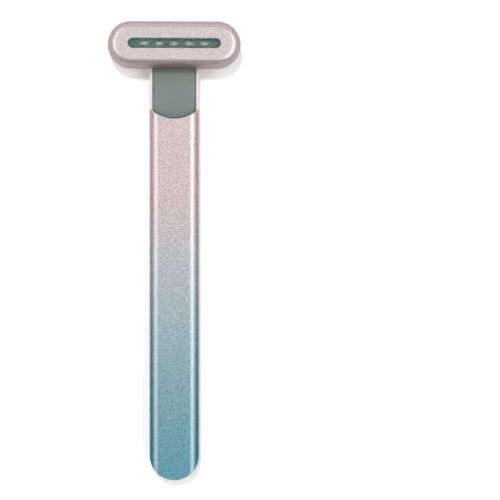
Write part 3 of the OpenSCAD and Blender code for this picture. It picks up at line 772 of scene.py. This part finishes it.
contact_gilt = rolled("contact_gilt", shade(222, 184, 104), roughness=0.22)
contact_count = 12
contact_pitch = 0.5
contact_start = 0.75    # from the blade's tip
contact_proud = 0.6     # share of half a contact's thickness, from the blade to its middle
contact_chamfer = 0.02
half = Vector((0.26, 2.9, 0.03)) / 2
contact_loops = [[(sx * (half.x - inset), sy * (half.y - inset), z)
                  for sx, sy in ((1, 1), (-1, 1), (-1, -1), (1, -1))]
                 for inset, z in ((0, -half.z), (0, half.z * 0.4), (contact_chamfer, half.z))]
for name, side in (("contacts_front", 1), ("contacts_back", -1)):
    contacts = loft(name, contact_loops, [contact_gilt])
    first = Vector((-(contact_count - 1) / 2 * contact_pitch, tongue_low.y + contact_start + half.y,
                    port_z + side * (blade_t / 2 + half.z * contact_proud)))
    step = Vector((contact_pitch, 0, 0))
    grow(contacts, row_net.tree, {"Count": contact_count, "First": first * MM, "Step": step * MM,
                                  "Finish": contact_gilt.material})
    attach(contacts, "handle")

# ---- Sled, board and cell ----
# A moulded channel slides into the tube with the board screwed to its posts. The pouch cell lies on
# a foam pad on the board, and the chips, the button's switch and the leads are soldered to it.


def dress(node, finish):
    """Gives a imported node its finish."""
    for holder in frame["nodes"][node].material_slots:
        holder.material = finish.material


def masked_board(name, colour):
    """Circuit board: glossy solder mask over faint copper tracks."""
    track_share = 0.3
    look = Look(name, {"Coat Weight": 0.4, "Coat Roughness": 0.12})
    tracks = look.node("ShaderNodeTexBrick", {"offset": 0.5},
                       {"Vector": look.place, "Scale": 260.0, "Mortar Size": 0.012, "Brick Width": 0.6,
                        "Row Height": 0.2}, "Fac")
    weave = look.noise(1400)
    field = look.mix(weave, toned(colour, 0.9), toned(colour, 1.08))
    look.put({"Base Color": look.mix(tracks * track_share, field, toned(colour, 1.5)),
              "Roughness": 0.36 + 0.1 * weave})
    look.bump(tracks, strength=0.3, depth=0.02)
    return look


dress("battery_sled", moulded("sled_plastic", shade(52, 55, 59)))
dress("main_board", masked_board("circuit_board", shade(31, 107, 69)))
chip_black = moulded("chip_black", shade(42, 44, 47), roughness=0.42, grain=0.008)
dress("board_chips", chip_black)
dress("tact_switch", socket_plastic)

cell_foil = Look("cell_foil", {"Metallic": 0.9})
wrinkle = cell_foil.noise(260, 4, cell_foil.stretched((1, 0.4, 1)))
cell_foil.put({"Base Color": cell_foil.mix(wrinkle, shade(176, 180, 184), shade(208, 210, 214)),
               "Roughness": 0.3 + 0.16 * wrinkle})
cell_foil.bump(wrinkle, strength=0.5, depth=0.06)
dress("battery_cell", cell_foil)

foam = Look("foam", {"Roughness": 0.95})
# The pores' hollows are painted darker, as painted shade
pores = foam.node("ShaderNodeTexVoronoi", None, {"Vector": foam.place, "Scale": 2600}, "Distance")
foam.put({"Base Color": foam.mix(pores, shade(38, 38, 40), shade(74, 74, 76))})
foam.bump(pores, strength=0.8, depth=0.1)
dress("battery_pad", foam)

# A round wire along the seed's edges, bent at every corner
wire_net, wire = grow_net("wire_on_a_path", {"Wire Radius": "Float", "Bend Radius": "Float",
                                             "Finish": "Material"})
path = wire_net.node("GeometryNodeMeshToCurve", None, {"Mesh": wire["Geometry"]})
bent = wire_net.node("GeometryNodeFilletCurve", {"mode": "POLY"},
                     {"Curve": path, "Count": 10, "Radius": wire["Bend Radius"], "Limit Radius": True})
around = wire_net.node("GeometryNodeCurvePrimitiveCircle", None,
                       {"Resolution": 20, "Radius": wire["Wire Radius"]})
tubes = wire_net.node("GeometryNodeCurveToMesh", None,
                      {"Curve": bent, "Profile Curve": around, "Fill Caps": True})
close_net(wire_net, tubes, wire["Finish"])


def insulated(name, colour):
    """Wire insulation: extruded, slightly glossy, with faint smears."""
    look = Look(name, {"Coat Weight": 0.2, "Coat Roughness": 0.3})
    smear = look.noise(700)
    look.put({"Base Color": look.mix(smear, toned(colour, 0.85), toned(colour, 1.12)),
              "Roughness": 0.42 + 0.12 * smear})
    return look


def run_wires(name, routes, wire_r, bend_r, finish):
    """Wires along several routes of corners, as one piece."""
    points = []
    edges = []
    for route in routes:
        edges += [(len(points) + k, len(points) + k + 1) for k in range(len(route) - 1)]
        points += [Vector(point) * MM for point in route]
    mesh = bpy.data.meshes.new(name)
    mesh.from_pydata(points, edges, [])
    made = bpy.data.objects.new(name, mesh)
    bpy.context.scene.collection.objects.link(made)
    return grow(made, wire_net.tree, {"Wire Radius": wire_r * MM, "Bend Radius": bend_r * MM,
                                      "Finish": finish.material})


wire_red = insulated("wire_red", shade(168, 50, 44))
low, high = corners("battery_leads")
cell_lead_r = 0.45
routes = [[(x, low.y, high.z - cell_lead_r), (x, high.y - cell_lead_r, high.z - cell_lead_r),
           (x, high.y - cell_lead_r, low.z)] for x in (low.x + cell_lead_r, high.x - cell_lead_r)]
battery_wires = run_wires("battery_wires", routes, cell_lead_r, bend_r=1.2, finish=wire_red)
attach(battery_wires, "handle")
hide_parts("battery_leads")

wire_black = insulated("wire_black", shade(45, 45, 48))
low, high = corners("head_leads")
bundle_r = 1
bundle_z = low.z + bundle_r
route = [(0, low.y, bundle_z), (0, pivot_y, bundle_z), (0, pivot_y, high.z)]
head_cable = run_wires("head_cable", [route], bundle_r, bend_r=2, finish=wire_black)
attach(head_cable, "handle")
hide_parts("head_leads")

# ---- Screws ----
# Small plated steel screws with a six-sided recess: two hold the board, two hold the pivot's flange
# and two hold the base plate. They differ in length, and are made as one pair each.
screw_steel = rolled("screw_steel", shade(168, 170, 174), roughness=0.24, fineness=2400)
screw_head_r = 1.1
thread_pitch = 0.35
thread_root = 0.86      # share of the shank's radius
thread_end = 0.4        # the shank's last stretch has no thread


def sided_loop(r, z, sides=0, steps=48):
    """A circle, or a polygon with the given number of sides, with equally many points."""
    points = []
    for a in turns(steps):
        reach = r
        if sides:
            part = math.pi / sides
            reach = r * math.cos(part) / math.cos(a % (2 * part) - part)
        points.append((reach * math.cos(a), reach * math.sin(a), z))
    return points


def screw_pair(name, node, shank_r, head_h, faces_up):
    """Two screws in place of a packed pair: from the recess, over the head and down the thread."""
    low, high = corners(node)
    length = high.z - low.z - head_h
    head_r = screw_head_r
    recess = head_r * 0.45
    thread = []
    for k in range(int((length - thread_end) / thread_pitch)):
        z = thread_pitch * (k + 0.6)
        thread += [sided_loop(shank_r, z), sided_loop(shank_r * thread_root, z + 0.17)]
    loops = [sided_loop(recess * 0.9, -head_h * 0.45, 6), sided_loop(recess, -head_h * 0.94, 6),
             sided_loop(recess * 1.08, -head_h, 6), sided_loop(head_r * 0.84, -head_h),
             sided_loop(head_r * 0.95, -head_h * 0.93), sided_loop(head_r, -head_h * 0.78),
             sided_loop(head_r, 0), sided_loop(shank_r, 0), *thread,
             sided_loop(shank_r * thread_root, length - 0.1), sided_loop(shank_r * 0.6, length)]
    if faces_up:
        loops = [[(x, -y, -z) for x, y, z in loop] for loop in loops]
    made = loft(name, loops, [screw_steel])
    seat = high.z - head_h if faces_up else low.z + head_h
    first = Vector((low.x + head_r, low.y + head_r, seat))
    step = Vector((high.x - low.x - 2 * head_r, high.y - low.y - 2 * head_r, 0))
    return grow(made, row_net.tree, {"Count": 2, "First": first * MM, "Step": step * MM,
                                     "Finish": screw_steel.material})


for name, node, shank_r, head_h, faces_up, body in (
    ("board_screw_pair", "board_screws", 0.6, 0.6, True, "handle"),
    ("flange_screw_pair", "pivot_screws", 0.7, 0.7, False, "handle"),
    ("base_screw_pair", "head_screws", 0.7, 0.7, False, "head"),
):
    pair = screw_pair(name, node, shank_r, head_h, faces_up)
    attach(pair, body)
    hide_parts(node)

# ---- Pivot ----
# A hollow steel pivot is screwed up under the neck insert. The head turns on it over a nylon washer,
# and a dished washer under a spring clip presses the head down and gives it its drag.
turned_steel = rolled("turned_steel", shade(190, 192, 196), roughness=0.22, fineness=1600)
nylon = moulded("nylon", shade(232, 230, 222), roughness=0.4, grain=0.006, spread=0.03)
for node in ("pivot_tube", "cone_washer", "pivot_clip"):
    dress(node, turned_steel)
dress("pivot_washer", nylon)

# ---- Power button ----
# A moulded button with a shallow dish for the fingertip, in a hole in the back. A flange keeps it
# in the tube, and a nylon plunger passes its travel to the switch on the board.
button_plastic = moulded("button_plastic", shade(92, 97, 103), roughness=0.42, grain=0.01, spread=0.05)
button_face = button_low.z
button_back = button_high.z
button_flange_t = 0.4
button_edge = 0.2
dish = 0.12
dish_reach = 2.1        # from the button's outline to the dish's floor


def button_loop(inset, z):
    """The button's outline, drawn in by an inset."""
    return back_loop(button_l - 2 * inset, button_w - 2 * inset, z)


flange_front = button_back - button_flange_t
button_loops = [button_loop(-button_lap, button_back), button_loop(-button_lap, flange_front),
                button_loop(0, flange_front), button_loop(0, button_face + button_edge)]
for a in (math.pi / 6, math.pi / 3, math.pi / 2):
    button_loops.append(button_loop(button_edge * (1 - math.cos(a)),
                                    button_face + button_edge * (1 - math.sin(a))))
for inset in (0.5, 0.8, 1.2, 1.6, 2.0):
    button_loops.append(button_loop(inset, button_face + dish * (1 - (1 - inset / dish_reach) ** 2)))
button = loft("button", button_loops, [button_plastic])
settle(button)
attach(button, "button")
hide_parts("power_button")
dress("switch_plunger", nylon)

# ---- Head: base plate ----
# Moulded to match the cap, it carries the pivot bore, the pin that stops the head's turn, two posts
# for the diode board and the motor's cradle. Two screws draw it up into the cap's rim.
base_plastic = moulded("base_plastic", shade(167, 159, 162), roughness=0.46, grain=0.012, spread=0.04)
base_low, base_high = corners("head_base")
head_z = head_low.z
base_t = 1.4
base_top = head_z + base_t
base_l = base_high.x - base_low.x
base_w = 2 * (base_high.y - pivot_y)
base_edge = 0.15
boss_x = corners("head_screws")[1].x - screw_head_r
screw_seat = 0.8
led_board_low, led_board_high = corners("led_board")
motor_low, motor_high = corners("motor_can")
motor_r = (motor_high.z - motor_low.z) / 2
motor_y = (motor_low.y + motor_high.y) / 2
motor_z = (motor_low.z + motor_high.z) / 2


def head_loop(length, width, z):
    """A stadium round the head's centre, long along the head."""
    return [(u, pivot_y + v, z) for u, v in stadium(length, width)]


def base_loop(inset, z):
    return head_loop(base_l - 2 * inset, base_w - 2 * inset, z)


base = loft("base_plate", [
    base_loop(base_edge, head_z), base_loop(0.3 * base_edge, head_z + 0.3 * base_edge),
    base_loop(0, head_z + base_edge), base_loop(0, base_top),
], [base_plastic])
stop_pin_r = 0.6
post_r = 1.2
post_in = 3.7           # from the diode board's end
post_x = led_board_high.x - post_in
root_z = base_top - 0.5     # the posts and the cradle start inside the plate
pin_root_z = base_top - 0.2
additions = [rod("stop_pin", 0, pivot_y - stop_r, stop_pin_r, base_low.z, pin_root_z, base_plastic)]
additions += [rod("post", side * post_x, pivot_y, post_r, root_z, led_board_low.z, base_plastic)
              for side in (-1, 1)]
cradle_w = 2.8
cradle_t = 1
cradle_in = 1           # from each end of the motor's can
cradle_edge = 1         # from the plate's edge
cradle_y = pivot_y + base_w / 2 - cradle_edge
cradle_top = motor_z - 0.4
for x in (motor_low.x + cradle_in, motor_high.x - cradle_in - cradle_t):
    stand = [(x, root_z, cradle_top), (x + cradle_t, root_z, cradle_top)]
    additions.append(upright("cradle", stand, even(cradle_y - cradle_w), even(cradle_y), [base_plastic]))
cut(base, additions, "UNION")
bed_play = 0.03
bed_r = motor_r + bed_play
cap_wall = 1.6
motor_bed = loft("motor_bed", [[(x, motor_y + bed_r * math.cos(t), motor_z + bed_r * math.sin(t))
                                for t in turns()] for x in (0, head_high.x - cap_wall)], [base_plastic])
shank_hole_r = 0.75
head_hole_r = 1.2
holes = [rod("pivot_bore", 0, pivot_y, pivot_r + pivot_gap, -past, tube_t, base_plastic), motor_bed]
for x in (-boss_x, boss_x):
    holes.append(rod("shank_hole", x, pivot_y, shank_hole_r, 0, base_top + past, base_plastic))
    holes.append(rod("head_hole", x, pivot_y, head_hole_r, 0, head_z + screw_seat, base_plastic))
cut(base, holes)
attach(base, "head")
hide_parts("head_base")
dress("head_gasket", moulded("gasket_rubber", shade(60, 60, 62), roughness=0.75))

# ---- Head: motor ----
# A drawn steel can holds the motor, which turns an off-centre weight on its shaft. It lies in the
# cradle beside the diode board, and its two leads are soldered to that board.
dress("motor_can", turned_steel)
dress("motor_shaft", turned_steel)
dress("motor_weight", rolled("weight_metal", shade(122, 126, 131), roughness=0.36, fineness=1800))
wire_blue = insulated("wire_blue", shade(43, 79, 154))
low, high = corners("motor_leads")
motor_lead_r = 0.3
lead_step = 0.8
lead_run = 2.2          # from the motor to the first lead's bend
lead_z = low.z + motor_lead_r
routes = []
for i in (0, 1):
    x = high.x - lead_run - 1.5 * i * lead_step
    y = high.y - motor_lead_r - (1 - i) * lead_step
    routes.append([(high.x, y, lead_z), (x, y, lead_z), (x, low.y, lead_z)])
motor_wires = run_wires("motor_wires", routes, motor_lead_r, bend_r=lead_step, finish=wire_blue)
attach(motor_wires, "head")
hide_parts("motor_leads")

# ---- Head: diodes and heater ----
# Five ceramic diode packages with a phosphor filling stand on a green board. A film heater with an
# etched track is glued behind the face, with a thermistor on it and two leads down to the board.
# The board is painted a lighter teal than its own, as painted light where the lens lets little light in
led_board_green = masked_board("led_board_green", shade(121, 168, 164))
board_edge = 0.12


def board_loop(inset, z, r=0.6):
    """The diode board's outline with rounded corners."""
    half_l = (led_board_high.x - led_board_low.x) / 2 - inset
    half_w = (led_board_high.y - led_board_low.y) / 2 - inset
    return [(u, pivot_y + v, z) for u, v in rounded(half_l, half_w, r, 6)]


led_board = loft("diode_board", [
    board_loop(board_edge, led_board_low.z), board_loop(0, led_board_low.z + board_edge),
    board_loop(0, led_board_high.z - board_edge), board_loop(board_edge, led_board_high.z),
], [led_board_green])
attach(led_board, "head")
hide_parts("led_board")

led_low, led_high = corners("led_chips")
led_count = 5
led_l = 3
led_w = led_high.y - led_low.y
led_h = led_high.z - led_low.z
led_pitch = (led_high.x - led_low.x - led_l) / (led_count - 1)


def package_loop(half_l, half_w, z, r=0.15):
    """An outline about one diode's own centre."""
    return [(u, v, z) for u, v in rounded(half_l, half_w, r, 4)]


ceramic = moulded("diode_ceramic", shade(220, 211, 208), grain=0.004, spread=0.03)
# The fillings glow faintly, as painted light: the diodes are not lit
phosphor = Look("diode_phosphor", {"Emission Strength": 0.18})
grains = phosphor.noise(3000)
warm = phosphor.mix(grains, shade(238, 216, 206), shade(250, 232, 222))
phosphor.put({"Base Color": warm, "Emission Color": warm, "Roughness": 0.35 + 0.15 * grains})
led_row = {"Count": led_count, "First": Vector((led_low.x + led_l / 2, pivot_y, led_low.z)) * MM,
           "Step": Vector((led_pitch, 0, 0)) * MM}
half_l = led_l / 2
half_w = led_w / 2
# Up the outside, over the rim and down into the round cavity
packages = loft("diode_packages", [
    package_loop(half_l, half_w, 0), package_loop(half_l, half_w, led_h * 0.5),
    package_loop(half_l - 0.05, half_w - 0.05, led_h * 0.8), package_loop(0.75, 0.56, led_h * 0.8, 0.5),
    package_loop(0.6, 0.44, led_h * 0.5, 0.4),
], [ceramic])
grow(packages, row_net.tree, {**led_row, "Finish": ceramic.material})
# Up the cavity's wall and over the dome
fillings = loft("diode_fillings", [
    package_loop(0.62, 0.46, led_h * 0.55, 0.4), package_loop(0.7, 0.52, led_h * 0.78, 0.48),
    package_loop(0.56, 0.42, led_h * 0.93, 0.38), package_loop(0.3, 0.22, led_h, 0.2),
], [phosphor])
grow(fillings, row_net.tree, {**led_row, "Finish": phosphor.material})
for part in (packages, fillings):
    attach(part, "head")
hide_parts("led_chips")

heater_polyimide = Look("heater_polyimide", {"Coat Weight": 0.5, "Coat Roughness": 0.15})
bands = heater_polyimide.node("ShaderNodeTexWave", {"bands_direction": "Y"},
                              {"Vector": heater_polyimide.place, "Scale": 320.0, "Distortion": 0.4}, "Fac")
heater_polyimide.put({"Base Color": heater_polyimide.mix(bands, shade(150, 86, 34), shade(196, 122, 60)),
                      "Roughness": 0.4 - 0.1 * bands})
heater_polyimide.bump(bands, strength=0.3, depth=0.02)
dress("heater_film", heater_polyimide)
dress("thermistor", chip_black)

low, high = corners("heater_leads")
heater_lead_r = 0.3
routes = [[(x, high.y, low.z + heater_lead_r), (x, low.y + heater_lead_r, low.z + heater_lead_r),
           (x, low.y + heater_lead_r, high.z)] for x in (low.x + heater_lead_r, high.x - heater_lead_r)]
heater_wires = run_wires("heater_wires", routes, heater_lead_r, bend_r=0.8, finish=wire_red)
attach(heater_wires, "head")
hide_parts("heater_leads")

# ---- Head: cap and window ----
# The cap is pressed from aluminium, lacquered rose like the top of the tube, with a soft rounding
# round its front edge. The slot in its face has a bright cut edge and a tinted lens bonded behind it.
head_finish = Look("head_finish", metal_lacquer)
window_edge = bright_edge("window_edge")
head_span = head_high.x - head_low.x
head_w = head_high.y - head_low.y
face_z = head_high.z
head_depth = face_z - head_finish.along("Z") / MM
# Painted shade down the cap's sides, and a painted highlight inside its rounding
sparkle(head_finish, shade(214, 200, 201), head_depth, face=0.28, side=1.05, contrast=0.34)
edge_reach = 3          # the rounding of the front edge, inwards
edge_fall = 4.4         # and down the side
face_rim = 0.6          # a narrow flat band inside the rounding
rim_chamfer = 0.2
rim_wall = 1.2
face_t = 1.2
gasket_t = 0.5
ceiling_z = face_z - face_t
ledge_z = base_top + gasket_t
window_l = 30
window_w = 3.2
window_chamfer = 0.3
rounding_steps = 16


def cap_loop(inset, z):
    return head_loop(head_span - 2 * inset, head_w - 2 * inset, z)


def window_loop(grow_by, z):
    return head_loop(window_l + 2 * grow_by, window_w + 2 * grow_by, z)


cap_loops = [cap_loop(rim_chamfer, head_z), cap_loop(0, head_z + rim_chamfer)]
for k in range(rounding_steps + 1):
    a = math.radians(90 * k / rounding_steps)
    cap_loops.append(cap_loop(edge_reach * (1 - math.cos(a)), face_z - edge_fall * (1 - math.sin(a))))
cap_loops.append(cap_loop(edge_reach + face_rim, face_z))
chamfer_band = len(cap_loops)
cap_loops += [window_loop(window_chamfer, face_z), window_loop(0, face_z - window_chamfer),
              window_loop(0, ceiling_z), cap_loop(cap_wall, ceiling_z), cap_loop(cap_wall, ledge_z),
              cap_loop(rim_wall, ledge_z), cap_loop(rim_wall, head_z)]
cap = loft("cap", cap_loops, [head_finish, window_edge], ring=True, looks_of_bands={chamfer_band: 1})
boss_r = 1.45
thread_hole_r = 0.72
boss_root = 0.6         # how far a boss reaches into the face
boss_floor = 1          # left between its hole and the face's underside
cut(cap, [rod("boss", x, pivot_y, boss_r, base_top, ceiling_z + boss_root, head_finish)
          for x in (-boss_x, boss_x)], "UNION")
cut(cap, [rod("boss_hole", x, pivot_y, thread_hole_r, 0, ceiling_z - boss_floor, head_finish)
          for x in (-boss_x, boss_x)])
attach(cap, "head")
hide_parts("head_cap")

lens_low, lens_high = corners("window_lens")
lens_lap = 1.25
lens_gap = 0.05
lens_edge = 0.12
lens_tint = Look("lens_tint", {"Transmission Weight": 1.0, "IOR": 1.45})
haze = lens_tint.noise(500)
lens_tint.put({"Base Color": lens_tint.mix(haze, shade(214, 236, 230), shade(222, 242, 236)),
               "Roughness": 0.24 + 0.06 * haze})
lens = loft("lens", [
    window_loop(lens_lap - lens_gap, lens_low.z), window_loop(lens_lap - lens_gap, ceiling_z),
    window_loop(-lens_gap, ceiling_z), window_loop(-lens_gap, lens_high.z - lens_edge),
    window_loop(-lens_gap - lens_edge * 0.3, lens_high.z - lens_edge * 0.3),
    window_loop(-lens_gap - lens_edge, lens_high.z),
], [lens_tint])
settle(lens)
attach(lens, "head")
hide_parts("window_lens")

# ---- Floor and light ----
# The wand lies on a plain white floor in a studio tent with a low pale wall, a soft top and a dark
# opening past the foot. A long soft light stands on either side, and a small one, above and beyond
# the head, makes the shadow.
floor_half = 4000
floor_z = -0.02         # clear of the flat back, so that the two don't lie in one plane
floor_mesh = bpy.data.meshes.new("floor")
floor_mesh.from_pydata([Vector((sx * floor_half, sy * floor_half, floor_z)) * MM
                        for sx, sy in ((-1, -1), (1, -1), (1, 1), (-1, 1))], [], [(0, 1, 2, 3)])
floor_white = Look("floor_white", {"Roughness": 0.9, "Specular IOR Level": 0.0})
paper = floor_white.noise(30)


def grey(value):
    """A neutral colour with the given linear value."""
    return (value, value, value, 1)


direct, mirrored, through = (floor_white.node("ShaderNodeLightPath", output=f"Is {ray} Ray")
                             for ray in ("Camera", "Glossy", "Transmission"))
seen = direct.math("MAXIMUM", mirrored).math("MAXIMUM", through)
paper_lift = 0.07       # brings the paper up to white where it is looked at
floor_white.put({"Base Color": floor_white.mix(paper, grey(0.97), grey(0.99)), "Emission Strength": 1.0,
                 "Emission Color": floor_white.mix(seen, grey(0), grey(paper_lift))})
floor_mesh.materials.append(floor_white.material)
floor = bpy.data.objects.new("floor", floor_mesh)
bpy.context.scene.collection.objects.link(floor)

world = bpy.data.worlds.new("tent")
world.use_nodes = True
tent = Net(world.node_tree)
outwards = tent.node("ShaderNodeTexCoord", output="Generated")
upwards = tent.part(outwards, "Z")
drape_start = 0.15      # heights of a direction, from 0 at the horizon to 1 overhead
drape_full = 0.5
drape_least = 0.15
wall_top = 0.19
wall_full = 0.12
drape = tent.node("ShaderNodeValToRGB", {"stops": [
    (0.14, grey(0.08)),
    (0.27, grey(0.8)),
    (0.65, grey(0.8)),
    (0.8, (0.56, 0.56, 0.57, 1)),
    (1.0, (0.5, 0.5, 0.51, 1)),
]}, {0: tent.part(outwards, "Y") * 0.5 + 0.5})
top = tent.rise(upwards, drape_start, drape_full, lowest=drape_least)
wall = tent.rise(upwards, wall_top, wall_full)
tent_light = tent.mix(wall, tent.mix(top, grey(0), drape), grey(0.96))
tent.feed(world.node_tree.nodes["Background"].inputs["Color"], tent_light)
bpy.context.scene.world = world

lamp_distance = 2500


def soft_light(name, tilt, turn, width, length, radiance):
    """A soft box that shines at the wand, tilted from upright towards a turn counted from +X."""
    lamp = bpy.data.lights.new(name, "AREA")
    lamp.shape = "RECTANGLE"
    lamp.size = width * MM
    lamp.size_y = length * MM
    lamp.energy = radiance * math.pi * width * MM * length * MM
    placed = bpy.data.objects.new(name, lamp)
    turned = Euler((0, math.radians(tilt), math.radians(turn)), "XYZ")
    placed.rotation_euler = turned
    placed.location = turned.to_matrix() @ Vector((0, 0, lamp_distance * MM))
    bpy.context.scene.collection.objects.link(placed)
    return placed


soft_light("right_light", tilt=36, turn=-8, width=1800, length=3400, radiance=1.2)
soft_light("left_light", tilt=43, turn=164, width=1600, length=3400, radiance=0.85)
main_light = soft_light("main_light", tilt=18, turn=106, width=260, length=260, radiance=110)
main_light.visible_glossy = False
main_light.visible_transmission = False
